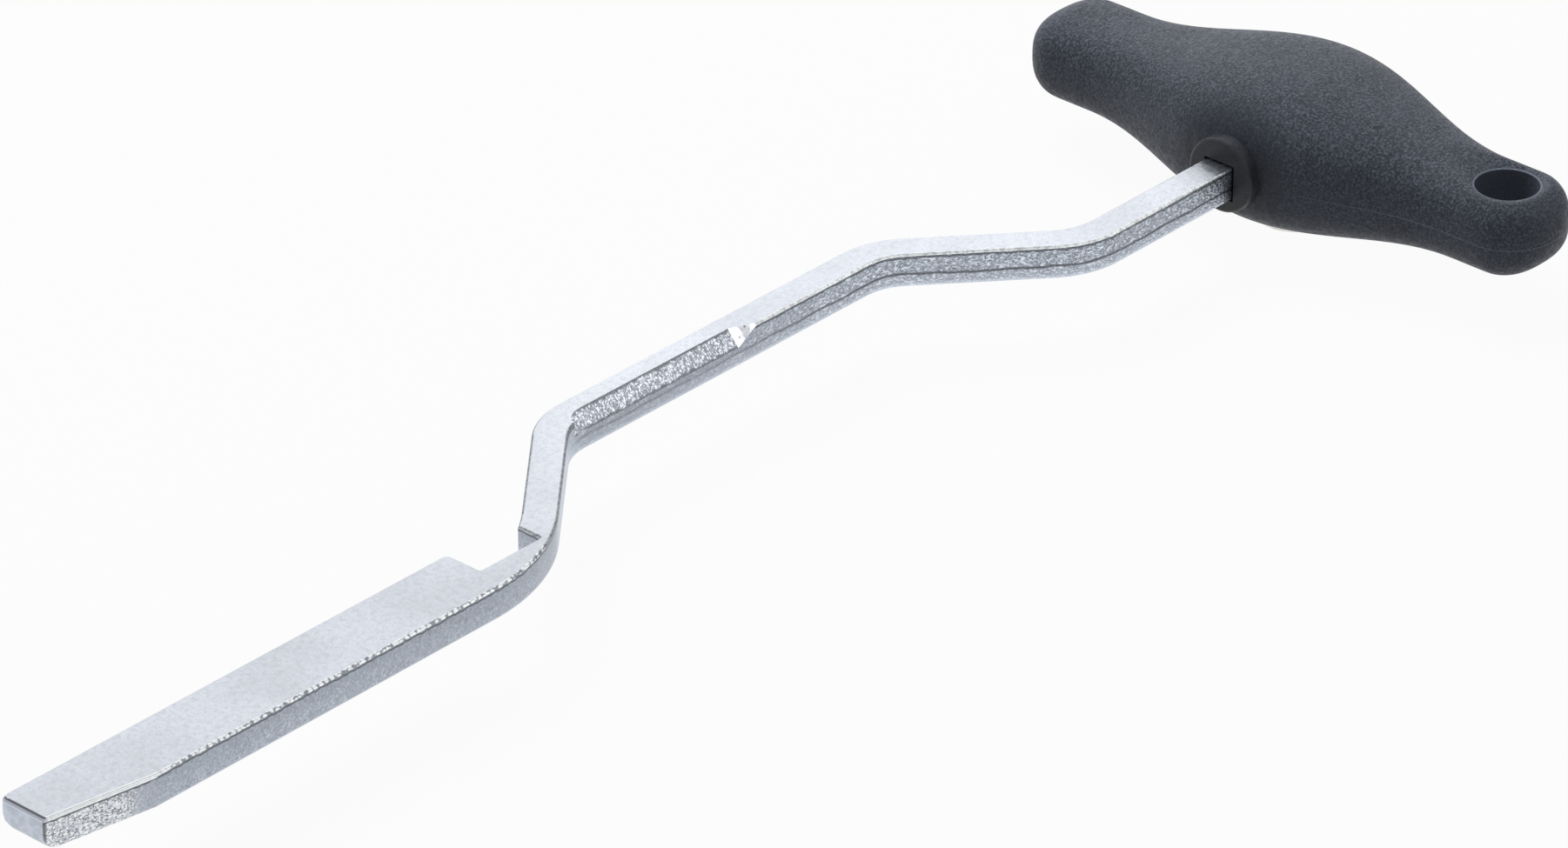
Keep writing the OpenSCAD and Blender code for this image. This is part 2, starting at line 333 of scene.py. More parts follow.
class Finish:
    """A procedural material on Object coordinates, built node by node"""

    # Sockets of a Mix node that mixes colours.
    MIX_SHARE, MIX_FIRST, MIX_SECOND, MIX_RESULT = 0, 6, 7, 2

    def __init__(self, name, rgb, metallic=1.0, specular=0.5):
        self.rgb = rgb
        self.material = bpy.data.materials.new(name)
        self.material.use_nodes = True
        self.tree = self.material.node_tree
        self.shader = self.tree.nodes["Principled BSDF"]
        self.shader.inputs["Metallic"].default_value = metallic
        self.shader.inputs["Specular IOR Level"].default_value = specular
        self.place = self.node("ShaderNodeTexCoord").outputs["Object"]

    def node(self, kind, inputs=None, **settings):
        return add_node(self.tree, kind, inputs, **settings)

    def axis(self, name):
        return self.node("ShaderNodeSeparateXYZ", {"Vector": self.place}).outputs[name]

    def depth(self):
        """Depth below the bar's top face."""
        return self.math("SUBTRACT", BAR_HIGH.z, self.axis("Z"))

    def away(self, place, *axes):
        """Distance from the line through a place that is square to two axes."""
        squares = []
        for name in axes:
            off = self.math("SUBTRACT", self.axis(name), getattr(place, name.lower()))
            squares.append(self.times(off, off))
        return self.math("SQRT", self.math("ADD", *squares))

    def stretched(self, x, y, z):
        scale = self.node("ShaderNodeMapping", {"Vector": self.place, "Scale": (x, y, z)})
        return scale.outputs["Vector"]

    def noise(self, size, detail=2.0, vector=None):
        inputs = {"Vector": vector or self.place, "Scale": 1 / size, "Detail": detail}
        return self.node("ShaderNodeTexNoise", inputs).outputs["Fac"]

    def warped(self, size, amount, vector):
        noise = self.node("ShaderNodeTexNoise", {"Vector": vector, "Scale": 1 / size, "Detail": 2.0})
        inputs = {0: noise.outputs["Color"], 1: (amount, amount, amount), 2: vector}
        return self.node("ShaderNodeVectorMath", inputs, operation="MULTIPLY_ADD").outputs[0]

    def cells(self, size, vector=None):
        inputs = {"Vector": vector or self.place, "Scale": 1 / size}
        return self.node("ShaderNodeTexVoronoi", inputs).outputs["Distance"]

    def math(self, operation, a, b=0.0):
        return self.node("ShaderNodeMath", {0: a, 1: b}, operation=operation).outputs[0]

    def times(self, a, b):
        return self.math("MULTIPLY", a, b)

    def ramp(self, value, low, high, start=0.0, end=1.0):
        """Soft step from start, where the value is low, to end, where it is high."""
        inputs = {"Value": value, "From Min": low, "From Max": high, "To Min": start, "To Max": end}
        return self.node("ShaderNodeMapRange", inputs, interpolation_type="SMOOTHSTEP").outputs["Result"]

    def band(self, value, middle, core, edge):
        """1 where the value is near a middle, fading to 0 at the edge."""
        away = self.math("ABSOLUTE", self.math("SUBTRACT", value, middle))
        return self.ramp(away, core, edge, 1.0, 0.0)

    def mix(self, share, first, second):
        inputs = {self.MIX_SHARE: share, self.MIX_FIRST: first, self.MIX_SECOND: second}
        return self.node("ShaderNodeMix", inputs, data_type="RGBA").outputs[self.MIX_RESULT]

    def two_tone(self, value, low, high, start, end):
        """The finish's colour, shaded by start where the value is low and by end where it is high."""
        return self.mix(self.ramp(value, low, high), shade(self.rgb, start), shade(self.rgb, end))

    def tint(self, base, share, factor):
        """A base with a share of the finish's colour, shaded by a factor, over it."""
        return self.mix(share, base, shade(self.rgb, factor))

    def bump(self, height, strength, distance, under=None):
        inputs = {"Height": height, "Strength": strength, "Distance": distance}
        if under:
            inputs["Normal"] = under
        return self.node("ShaderNodeBump", inputs).outputs["Normal"]

    def done(self, base, pattern, smooth, rough, normal=None):
        """The material, with a roughness that follows a pattern."""
        roughness = self.ramp(pattern, 0.3, 0.7, smooth, rough)
        for key, value in (("Base Color", base), ("Roughness", roughness), ("Normal", normal)):
            if value:
                self.tree.links.new(value, self.shader.inputs[key])
        return self.material


def plated_face(rgb, crank_x, leg_x):
    """Satin plating on the blasted flat faces, a little duller along the blade."""
    f = Finish("plated_face", rgb)
    cloud = f.noise(16 * MM, 3)
    mottle = f.noise(1.0 * MM, 3)
    grain = f.noise(0.32 * MM)
    dull = f.ramp(f.axis("X"), crank_x - 20 * MM, leg_x + 25 * MM, 0.24, 0.03)
    base = f.two_tone(cloud, 0.35, 0.65, 0.95, 1.06)
    base = f.tint(base, f.ramp(mottle, 0.45, 0.7, 0.0, 0.25), 0.8)
    base = f.tint(base, f.ramp(grain, 0.42, 0.68, 0.0, 0.35), 0.7)
    base = f.tint(base, dull, 0.25)
    normal = f.bump(grain, 0.5, 0.05 * MM, f.bump(mottle, 0.3, 0.1 * MM))
    return f.done(base, mottle, 0.28, 0.4, normal)


def rim_line(f, depth, middle, width, strength, size=1.2 * MM, swing=0.8 * MM):
    """Uneven dark line along a side at some depth. Just under a rounded edge it is painted shade; further
    down it is the cut's real drag line.
    """
    wander = f.noise(size, 3, f.stretched(1, 1, 0.1))
    level = f.math("ADD", depth, f.times(wander, -swing))
    return f.times(f.band(level, middle - swing / 2, 0.3 * width, width), strength)


def blade_grit(f, depth, grain, blot):
    """Colour of the blade's cut sides: gritty, and darker towards the top."""
    base = f.two_tone(grain, 0.32, 0.68, 0.74, 1.26)
    base = f.tint(base, f.ramp(blot, 0.35, 0.65, 0.0, 0.45), 1.12)
    base = f.tint(base, f.ramp(grain, 0.58, 0.68, 0.0, 0.35), 1.9)
    base = f.tint(base, f.ramp(depth, 1.0 * MM, 4.0 * MM, 0.3, 0.0), 0.7)
    # Painted shade just under the rounded top edge.
    return f.tint(base, rim_line(f, depth, 0.62 * MM, 0.26 * MM, 0.85), 0.25)


def crank_crinkle(f, depth, grain, crinkle, leg, rough):
    """Colour of the crank's cut sides: crinkled, with a dragged line where they are rough."""
    base = f.two_tone(grain, 0.32, 0.68, 0.95, 1.45)
    base = f.tint(base, f.ramp(crinkle, 0.54, 0.68, 0.0, 0.8), 2.0)
    base = f.tint(base, f.band(crinkle, 0.47, 0.01, 0.07), 0.48)
    base = f.mix(rough, shade(f.rgb, 0.95), base)
    base = f.tint(base, f.ramp(depth, 3.4 * MM, 4.6 * MM, 0.0, 0.22), 1.5)
    drag = rim_line(f, depth, 3.7 * MM, 0.34 * MM, 0.88, 7 * MM, 0.9 * MM)
    base = f.tint(base, f.times(drag, rough), 0.25)
    base = f.tint(base, leg, 1.65)
    # Painted shade just under the rounded top edge.
    return f.tint(base, rim_line(f, depth, 0.6 * MM, 0.34 * MM, 0.85), 0.22)


def cut_side(rgb, tip_x, crank_x, leg_x):
    """Plating over the cut sides: gritty on the blade, brighter on the leg, crinkled along the crank."""
    f = Finish("cut_side", rgb)
    x, depth = f.axis("X"), f.depth()
    crank = f.ramp(x, crank_x, crank_x + 8 * MM)
    leg = f.times(crank, f.ramp(x, leg_x - 4 * MM, leg_x + 3 * MM, 0.7, 0.0))
    rough = f.ramp(x, leg_x + 30 * MM, leg_x + 70 * MM, 0.4, 1.0)
    body = f.ramp(x, tip_x + 0.6 * MM, tip_x + 2.5 * MM)
    grain = f.noise(0.36 * MM, 3)
    blot = f.noise(1.6 * MM, 3)
    crinkle = f.noise(0.75 * MM, 2, f.stretched(1, 1, 2.0))
    crinkled = crank_crinkle(f, depth, grain, crinkle, leg, rough)
    base = f.mix(crank, blade_grit(f, depth, grain, blot), crinkled)
    base = f.tint(base, f.ramp(depth, 5.0 * MM, 5.8 * MM, 0.0, 0.6), 1.8)
    base = f.mix(body, f.two_tone(blot, 0.4, 0.6, 1.14, 1.36), base)
    lumps = f.bump(f.times(crinkle, crank), 0.6, 0.25 * MM)
    normal = f.bump(f.times(grain, body), 0.5, 0.08 * MM, lumps)
    return f.done(base, grain, 0.28, 0.42, normal)


def tip_crackle(rgb, side_rgb, tip_x, facet_x):
    """Plating over the tip's slanting cut: fine dark cracks that fade into the blade's side."""
    f = Finish("tip_crackle", rgb)
    x = f.axis("X")
    worm = f.noise(0.75 * MM, 2, f.stretched(0.8, 0.8, 1.3))
    grit = f.noise(0.36 * MM, 3)
    side = f.mix(f.ramp(grit, 0.32, 0.68), shade(side_rgb, 0.82), shade(side_rgb, 1.18))
    uneven_x = f.math("ADD", x, f.times(worm, 4 * MM))
    base = f.two_tone(grit, 0.35, 0.65, 0.92, 1.55)
    base = f.tint(base, f.band(worm, 0.5, 0.015, 0.06), 0.4)
    base = f.mix(f.ramp(uneven_x, facet_x - 5 * MM, facet_x + MM), base, side)
    # Painted shade just under the rounded upper edge, and at the rounded corner by the tip's end.
    base = f.tint(base, rim_line(f, f.depth(), 0.7 * MM, 0.3 * MM, 0.85), 0.2)
    base = f.tint(base, f.ramp(x, tip_x + 0.25 * MM, tip_x + 0.75 * MM, 0.9, 0.0), 0.2)
    normal = f.bump(grit, 0.5, 0.1 * MM, f.bump(worm, 0.6, 0.2 * MM))
    return f.done(base, grit, 0.22, 0.4, normal)


def ground_bevel(rgb, down):
    """Plating over the coarse bright strokes that grinding left across the bevel, in a dark outline of
    painted shade along its edges.
    """
    f = Finish("ground_bevel", rgb)
    depth, inset = f.depth(), 0.1 * MM
    strokes = f.cells(0.55 * MM, f.warped(1.3 * MM, 1.0 * MM, f.stretched(1.6, 1, 1)))
    worm = f.noise(0.8 * MM, 2, f.stretched(1.5, 1, 1))
    grit = f.noise(0.35 * MM, 3)
    base = f.two_tone(strokes, 0.3, 0.75, 1.4, 0.56)
    base = f.tint(base, f.band(worm, 0.5, 0.02, 0.07), 0.4)
    base = f.tint(base, f.ramp(grit, 0.56, 0.75, 0.0, 0.4), 0.4)
    # Painted shade along the bevel's two edges.
    for border in (inset, down - inset):
        base = f.tint(base, rim_line(f, depth, border, 0.34 * MM, 0.9), 0.25)
    return f.done(base, grit, 0.2, 0.4, f.bump(grit, 0.4, 0.08 * MM))


def bright_runout(rgb, start_x):
    """Smoother bright plating where the wheel ran out, with dark specks towards its end."""
    f = Finish("bright_runout", rgb)
    worn = f.noise(0.8 * MM, 3)
    far = f.ramp(f.axis("X"), start_x + 3 * MM, start_x + 8 * MM, 0.0, 0.14)
    specks = f.ramp(f.math("ADD", worn, far), 0.6, 0.66, 0.0, 0.8)
    base = f.two_tone(worn, 0.3, 0.7, 1.1, 1.25)
    base = f.tint(base, specks, 0.3)
    return f.done(base, worn, 0.12, 0.24, f.bump(worn, 0.3, 0.1 * MM))


def edge_painted_light_and_shade(rgb, tip_x, facet_x, crank_x, leg_x):
    """Painted highlight and painted shade along the rounded upper edges: bright at tip and crank, beaded on
    the blade, dark on the leg.
    """
    f = Finish("edge_painted_light_and_shade", rgb)
    # The bright shade factor paints the highlight on the rounded edges, and the finish's dark colour left
    # between the beads paints the shade beside it.
    x, bright = f.axis("X"), 4.4
    beads = f.cells(0.6 * MM, f.warped(1.0 * MM, 0.5 * MM, f.stretched(0.8, 0.8, 0.8)))
    grit = f.noise(0.4 * MM)
    tip_highlight = f.ramp(x, facet_x - 2 * MM, facet_x + 6 * MM, 0.9, 0.0)
    crank_highlight = f.ramp(x, leg_x, leg_x + 20 * MM, 0.0, 0.55)
    past_slot = f.ramp(x, crank_x - 4 * MM, crank_x + 2 * MM)
    leg_dimmer_highlight = f.times(past_slot, f.ramp(x, leg_x, leg_x + 6 * MM, 0.8, 0.0))
    # At the tip's end: a painted dark line at the top of the rounding, over a band painted lighter to make
    # up for the darker surround that it mirrors.
    end = f.two_tone(f.depth(), 0.04 * MM, 0.2 * MM, 0.7, 3.0)
    base = f.two_tone(beads, 0.4, 0.7, bright, 1.4)
    base = f.tint(base, f.math("ADD", tip_highlight, crank_highlight), bright)
    base = f.tint(base, leg_dimmer_highlight, 1.2)
    base = f.mix(f.ramp(x, tip_x + 0.75 * MM, tip_x + 0.95 * MM, 1.0, 0.0), base, end)
    return f.done(base, grit, 0.25, 0.4)


def mould_line(f, level, width, start, stop, share):
    """Thin line where the mould closed, which ends towards the middle of the handle."""
    line = f.band(f.axis("Z"), level, 0.05 * MM, width)
    return f.times(line, f.ramp(f.axis("Y"), HANDLE.y - start, HANDLE.y - stop, share, 0.0))


def grained_plastic(rgb, hole, hole_r):
    """Spark-eroded grain of the grip with painted glints: smoother round the collar, painted paler in the
    hole to lift its shade, with a painted highlight on the hole's rim and a mould line.
    """
    f = Finish("grained_plastic", rgb, 0.0, 0.22)
    grain = f.noise(0.42 * MM)
    pits = f.noise(1.1 * MM)
    cloud = f.noise(14 * MM, 3)
    specks = f.cells(0.9 * MM)
    flow = f.noise(5 * MM, 4, f.stretched(1, 2.5, 1))
    seam = mould_line(f, PLATE_Z, 0.15 * MM, 30 * MM, 4 * MM, 0.6)
    front = f.ramp(f.axis("X"), HANDLE.x - 14 * MM, HANDLE.x - 8 * MM, 1.0, 0.0)
    polished = f.times(f.ramp(f.away(HANDLE, "Y", "Z"), 8 * MM, 15 * MM, 1.0, 0.0), front)
    out = f.away(hole, "X", "Y")
    inside = f.ramp(out, hole_r + 0.02 * MM, hole_r + 0.05 * MM, 1.0, 0.0)
    lip = f.times(f.band(out, hole_r + 0.2 * MM, 0.08 * MM, 0.16 * MM), 0.6)
    base = f.two_tone(cloud, 0.3, 0.7, 0.85, 1.15)
    # The light flecks of the grain are partly its own tone and partly painted glints; the bright specks are
    # painted glints.
    base = f.tint(base, f.ramp(grain, 0.46, 0.7, 0.0, 0.75), 2.4)
    base = f.tint(base, f.ramp(grain, 0.3, 0.5, 0.7, 0.0), 0.42)
    base = f.tint(base, f.ramp(specks, 0.05, 0.13, 0.7, 0.0), 4.5)
    base = f.tint(base, f.times(polished, 0.7), 0.5)
    # Painted light: the hole's inside is painted paler to lift the shade on its wall.
    base = f.tint(base, f.times(inside, 0.8), 1.9)
    # Painted highlight along the hole's rim.
    base = f.tint(base, lip, 4.0)
    base = f.tint(base, seam, 3.5)
    soft = f.math("SUBTRACT", 1.0, f.times(polished, 0.7))
    normal = f.bump(f.times(grain, soft), 0.9, 0.16 * MM, f.bump(pits, 0.4, 0.16 * MM))
    normal = f.bump(f.times(flow, polished), 0.5, 0.5 * MM, normal)
    return f.done(base, pits, 0.42, 0.58, f.bump(seam, 0.4, 0.1 * MM, normal))


def smooth_plastic(rgb):
    """Smooth, slightly dusty plastic of the collar, with the end of the mould line."""
    f = Finish("smooth_plastic", rgb, 0.0, 0.3)
    haze = f.noise(2.5 * MM)
    dust = f.noise(0.4 * MM, 3)
    base = f.two_tone(haze, 0.3, 0.7, 0.85, 1.3)
    base = f.tint(base, f.ramp(dust, 0.5, 0.72, 0.0, 0.6), 2.2)
    base = f.tint(base, mould_line(f, PLATE_Z - 0.4 * MM, 0.16 * MM, 4 * MM, 3 * MM, 0.5), 3.0)
    return f.done(base, haze, 0.34, 0.46, f.bump(dust, 0.25, 0.06 * MM))


def screw_zinc(rgb):
    """Slightly stained zinc on the screw."""
    f = Finish("screw_zinc", rgb)
    stain = f.noise(1.6 * MM)
    grit = f.noise(0.25 * MM)
    base = f.two_tone(stain, 0.3, 0.7, 0.8, 1.1)
    return f.done(base, stain, 0.25, 0.4, f.bump(grit, 0.2, 0.03 * MM))


def bar_plan(size):
    """Named points of the bar's outline, in the frame's plan."""
    x, y = HANDLE.x, HANDLE.y
    half_bar, half_blade = size.bar_w / 2, size.blade_w / 2
    jog, leg = size.jog_angle, size.leg_angle
    shaft_x = x - size.shaft_len
    jog_x = shaft_x - size.crank / math.tan(jog)
    leg_x = jog_x - size.mid_len
    neck_y = y + size.front_r - half_blade
    leg_reach = size.crank * math.cos(leg) - (leg_x - x) * math.sin(leg)
    neck_x = x + ((neck_y - y) * math.cos(leg) - leg_reach + half_bar - size.front_r) / math.sin(leg)
    slot_y = y + half_blade - size.slot_d
    wall_x = neck_x + math.sqrt((size.front_r - size.neck_w) ** 2 - (neck_y - slot_y) ** 2)
    return SimpleNamespace(
        shaft_bend=(shaft_x + size.shaft_bend_r * math.tan(jog / 2), y + size.shaft_bend_r),
        jog_bend=(jog_x - size.bend_r * math.tan(jog / 2), y + size.crank - size.bend_r),
        leg_bend=(leg_x + size.bend_r * math.tan(leg / 2), y + size.crank - size.bend_r),
        neck=(neck_x, neck_y),
        slot_y=slot_y,
        wall_x=wall_x,
        shoulder_x=wall_x - size.slot_len,
        bevel_x=leg_x + size.bevel_start,
        mid_front_y=y + size.crank - half_bar,
    )


def rounding(radius, depth):
    """How far a rounded edge has drawn back at a depth below its face."""
    return radius - math.sqrt(radius ** 2 - (radius - depth) ** 2) if depth < radius else 0.0


def bar_outline(size, plan, height):
    """Outline of the bar at a height above its underside, drawn back where the edges are rounded."""
    depth = max(0.0, THICKNESS - height)
    points = []

    def drawn_back(upper, lower):
        return max(rounding(upper, depth), rounding(lower, height))

    def corner(x, y):
        points.append(Vector((x, y, BAR_LOW.z + height)))

    def arc(centre, start, stop, steps, first, last=None):
        for i in range(steps + 1):
            share = i / steps
            radius = first if last is None else first + (last - first) * share
            way = start + (stop - start) * share
            corner(centre[0] + radius * math.cos(way), centre[1] + radius * math.sin(way))

    facet, blade = drawn_back(size.facet_lip, size.keel_r), drawn_back(size.blade_lip, size.keel_r)
    crank, end = drawn_back(size.edge_r, size.foot_r), drawn_back(size.tip_top_r, size.tip_nose_r)
    half_bar, half_blade = size.bar_w / 2, size.blade_w / 2
    back_y, front_y = HANDLE.y + half_blade, HANDLE.y - half_blade
    grown = size.tip_swell * max(0.0, 1 - height / size.tip_nose_r) ** 2
    front_r, back_r = size.tip_front_r + grown / 2, size.tip_back_r + grown
    tip_x = BAR_LOW.x + end
    slope = math.atan2(size.tip_cut_d, size.tip_cut_len)
    tip_y = front_y + size.tip_cut_d
    tip_y += (facet + front_r - (end + front_r) * math.sin(slope)) / math.cos(slope)
    cut_x = BAR_LOW.x + (facet + (size.tip_cut_d - blade) * math.cos(slope)) / math.sin(slope)
    leg, jog = size.leg_angle, size.jog_angle
    neck_back = size.front_r - size.bar_w + crank
    wall, floor, stop = plan.wall_x, plan.slot_y, plan.shoulder_x
    reach = math.asin((wall + crank - plan.neck[0]) / neck_back)
    inner, outer = size.bend_r - half_bar + crank, size.bend_r + half_bar - crank
    slot_r, shoulder_r = size.slot_corner_r, size.shoulder_r
    bend_steps = 14

    arc((tip_x + front_r, tip_y), TO_TIP, TO_FRONT - slope, 6, front_r)
    corner(cut_x, front_y + blade)
    arc(plan.neck, TO_FRONT, TO_FRONT + leg, 16, size.front_r - blade, size.front_r - crank)
    arc(plan.leg_bend, TO_BACK + leg, TO_BACK, bend_steps, inner)
    arc(plan.jog_bend, TO_BACK, TO_BACK - jog, bend_steps, inner)
    arc(plan.shaft_bend, TO_FRONT - jog, TO_FRONT, bend_steps, size.shaft_bend_r + half_bar - crank)
    corner(BAR_HIGH.x, HANDLE.y - half_bar + crank)
    corner(BAR_HIGH.x, HANDLE.y + half_bar - crank)
    arc(plan.shaft_bend, TO_FRONT, TO_FRONT - jog, bend_steps, size.shaft_bend_r - half_bar + crank)
    arc(plan.jog_bend, TO_BACK - jog, TO_BACK, bend_steps, outer)
    arc(plan.leg_bend, TO_BACK, TO_BACK + leg, bend_steps, outer)
    arc(plan.neck, TO_FRONT + leg, TO_FRONT + reach, 10, neck_back)
    arc((wall - slot_r, floor + slot_r), TO_HANDLE, TO_FRONT, 4, slot_r + crank)
    arc((stop + slot_r, floor + slot_r), TO_FRONT, TO_TIP, 4, slot_r + crank)
    arc((stop - shoulder_r, back_y - shoulder_r), 0, TO_BACK, 6, shoulder_r - crank)
    arc((tip_x + back_r, back_y - crank - back_r), TO_BACK, TO_TIP, 8, back_r)
    return points


def quarter_turn(steps):
    """Angles from nought to a right angle."""
    return [RIGHT_ANGLE * i / steps for i in range(steps + 1)]


def bar_heights(size):
    """Heights of the bar's outlines: close together where its edges are rounded."""
    found = set()
    for turn in quarter_turn(5):
        rise = 1 - math.cos(turn)
        found |= {radius * rise for radius in (size.tip_nose_r, size.keel_r)}
        found |= {THICKNESS - radius * rise for radius in (size.edge_r, size.facet_lip)}
    return sorted({round(height, 6) for height in found})


def plate(size, plan):
    """Solid of the bar, drawn up outline by outline."""
    bm = bmesh.new()
    spot = bm.verts.layers.int.new("spot")
    first, *others = bar_heights(size)
    for i, vert in enumerate(chain(bm, bar_outline(size, plan, first))):
        vert[spot] = i
    faces = bmesh.ops.contextual_create(bm, geom=bm.verts[:] + bm.edges[:])["faces"]
    for height in others:
        points = bar_outline(size, plan, height)
        edges = [edge for face in faces for edge in face.edges]
        made = bmesh.ops.extrude_face_region(bm, geom=faces + edges, use_keep_orig=height == others[0])
        faces = [item for item in made["geom"] if isinstance(item, bmesh.types.BMFace)]
        for item in made["geom"]:
            if isinstance(item, bmesh.types.BMVert):
                item.co = points[item[spot]]
    bm.verts.layers.int.remove(spot)
    return finish_mesh(bm, "plate")


def bevel_tilt(size):
    """Slope of the ground bevel across the bar."""
    return math.atan2(size.bevel_down, size.bevel_across)


def bevel_tools(size, plan):
    """Wheels that grind the bevel: one for its round start, one for the flat strip and the run-out."""
    width = math.hypot(size.bevel_across, size.bevel_down)
    turn = Matrix.Rotation(bevel_tilt(size), 4, "X")
    turn.translation = (
        plan.bevel_x,
        plan.mid_front_y + size.bevel_across / 2,
        BAR_HIGH.z - size.bevel_down / 2,
    )
    bm = bmesh.new()
    bmesh.ops.create_circle(bm, cap_ends=True, segments=NOSE_STEPS, radius=width / 2)
    bmesh.ops.scale(bm, verts=bm.verts, vec=(2 * size.bevel_nose / width, 1, 1))
    bmesh.ops.translate(bm, verts=bm.verts, vec=(size.bevel_nose, 0, 0))
    raised(bm, UP * THICKNESS)
    bmesh.ops.transform(bm, matrix=turn, verts=bm.verts)
    round_start = finish_mesh(bm, "round_start")

    start, end = Vector((size.bevel_nose, -THICKNESS, 0)), Vector((size.bevel_len, THICKNESS, THICKNESS))
    bm = block(start, end)
    for vert in bm.verts:
        if vert.co.x > (start.x + end.x) / 2:
            vert.co.x += vert.co.z / math.tan(size.runout)
    bmesh.ops.transform(bm, matrix=turn, verts=bm.verts)
    return round_start, finish_mesh(bm, "strip")


class LEVER_OT_bar(bpy.types.Operator):
    """Builds the plate bar with its blade, slot, crank and ground bevel"""

    bl_idname = "lever.bar"
    bl_label = "Lever bar"

    def execute(self, context):
        size, finish = context.scene.lever_bar, context.scene.lever_finish
        plan = bar_plan(size)
        mesh = cut(plate(size, plan), *bevel_tools(size, plan))
        self.mark(mesh, size, plan)
        tip_x, facet_x = BAR_LOW.x, BAR_LOW.x + size.tip_cut_len
        crank_x, leg_x = plan.wall_x, plan.bevel_x
        materials = [
            plated_face(finish.plate, crank_x, leg_x),
            cut_side(finish.cut, tip_x, crank_x, leg_x),
            tip_crackle(finish.ground, finish.cut, tip_x, facet_x),
            ground_bevel(finish.ground, size.bevel_down),
            edge_painted_light_and_shade(finish.edge, tip_x, facet_x, crank_x, leg_x),
            bright_runout(finish.plate, leg_x + size.bevel_len),
        ]
        piece = add_piece("bar_plate", mesh, materials, "lever_bar")
        flat = piece.modifiers.new("Flat faces", "WEIGHTED_NORMAL")
        flat.keep_sharp = True
        return {"FINISHED"}

    def mark(self, mesh, size, plan):
        """Gives the faces their finishes and marks the sharp edges."""
        sharp = math.radians(32)
        bm = bmesh.new()
        bm.from_mesh(mesh)
        bmesh.ops.remove_doubles(bm, verts=bm.verts, dist=WELD)
        bm.normal_update()
        for face in bm.faces:
            face.smooth = True
            face.material_index = self.finish_of(face, size, plan)
        for edge in bm.edges:
            if len(edge.link_faces) == 2 and edge.calc_face_angle(0) > sharp:
                edge.smooth = False
        bm.to_mesh(mesh)
        bm.free()

    def finish_of(self, face, size, plan):
        """Number of a face's finish, from its place and the way it faces."""
        centre, normal = face.calc_center_median(), face.normal
        slack, square, lengthwise, upwards = 0.1 * MM, 0.999, 0.2, 0.12
        just_front, front, tipwards = -0.02, -0.5, -0.1
        tilt = bevel_tilt(size)
        ground = Vector((0, -math.sin(tilt), math.cos(tilt)))
        run = size.bevel_len + size.bevel_down / math.tan(size.runout)
        on_bevel = (
            plan.bevel_x - slack < centre.x < plan.bevel_x + run
            and centre.y < plan.mid_front_y + size.bevel_across + slack
            and centre.z > BAR_HIGH.z - size.bevel_down - slack
        )
        if on_bevel and (normal.dot(ground) > square or normal.x > lengthwise):
            return BEVEL_FACE
        if on_bevel and normal.x < -lengthwise:
            return RUN_OUT
        if abs(normal.z) > square:
            return PLATE_FACE
        if normal.z > upwards:
            return BROKEN_EDGE if normal.y < just_front or normal.x < tipwards else PLATE_FACE
        if centre.x < BAR_LOW.x + size.tip_cut_len and normal.y < front:
            return TIP_FACET
        return CUT_SIDE


def revolved(points, axis, origin, steps):
    """Solid of a profile of (radius, height) points turned round an axis through origin."""
    bm = bmesh.new()
    side = ALONG if axis == UP else UP
    chain(bm, [origin + axis * height + side * radius for radius, height in points])
    line = bm.verts[:] + bm.edges[:]
    bmesh.ops.spin(bm, geom=line, cent=origin, axis=axis, angle=FULL_TURN, steps=steps, use_merge=True)
    bmesh.ops.remove_doubles(bm, verts=bm.verts, dist=WELD)
    return finish_mesh(bm, "revolved")


def rod(radius, low, high):
    """Profile of a plain cylinder."""
    return [(0, low), (radius, low), (radius, high), (0, high)]


def rounded_rim(radius, start, edge, steps):
    """Part of a profile: from a flat end over a rounded edge to the wall."""
    return [
        (radius - edge + edge * math.sin(turn), start + edge - edge * math.cos(turn))
        for turn in quarter_turn(steps)
    ]


def core_body(size):
    """Collar and barrel along X and the cross arm along Y, as one solid."""
    front, back = CORE_LOW.x - HANDLE.x, CORE_HIGH.x - HANDLE.x
    barrel = HANDLE.x - GRIP_HIGH.x + size.barrel_setback
    collar, wide = size.collar_d / 2, size.barrel_d / 2
    profile = [(0, front), *rounded_rim(collar, front, size.collar_r, 6)]
    profile += [(collar, barrel), (wide, barrel), (wide, back), (0, back)]
    arm = CORE_HIGH.y - HANDLE.y
    cross_arm = revolved(rod(size.arm_d / 2, -arm, arm), ACROSS, HANDLE, CORE_STEPS)
    return joined(revolved(profile, ALONG, HANDLE, CORE_STEPS), cross_arm, "UNION")


def round_edges(piece, width, segments):
    """Rounds the sharp edges of a piece."""
    piece.data.shade_smooth()
    bevel = piece.modifiers.new("Rounded edges", "BEVEL")
    bevel.limit_method = "ANGLE"
    bevel.angle_limit = math.radians(40)
    bevel.width = width
    bevel.segments = segments
    bevel.profile = 0.5
    bevel.harden_normals = True


class LEVER_OT_core(bpy.types.Operator):
    """Builds the smooth core with its collar and the socket for the tang"""

    bl_idname = "lever.core"
    bl_label = "Handle core"

    def execute(self, context):
        size, bar, finish = context.scene.lever_handle, context.scene.lever_bar, context.scene.lever_finish
        gap = size.socket_gap
        reach = Vector((OVERSHOOT, bar.bar_w / 2 + gap, THICKNESS / 2 + gap))
        low = Vector((CORE_LOW.x, HANDLE.y, PLATE_Z)) - reach
        high = Vector((BAR_HIGH.x, HANDLE.y + reach.y, PLATE_Z + reach.z))
        socket = finish_mesh(block(low, high), "socket")
        hole = rod(size.screw_d / 2 + size.screw_gap, -size.barrel_d, 0)
        mesh = cut(core_body(size), socket, revolved(hole, UP, HANDLE, DRILL_STEPS))
        piece = add_piece("collar_core", mesh, [smooth_plastic(finish.core)], "handle_core")
        round_edges(piece, size.core_edge_r, 3)
        return {"FINISHED"}


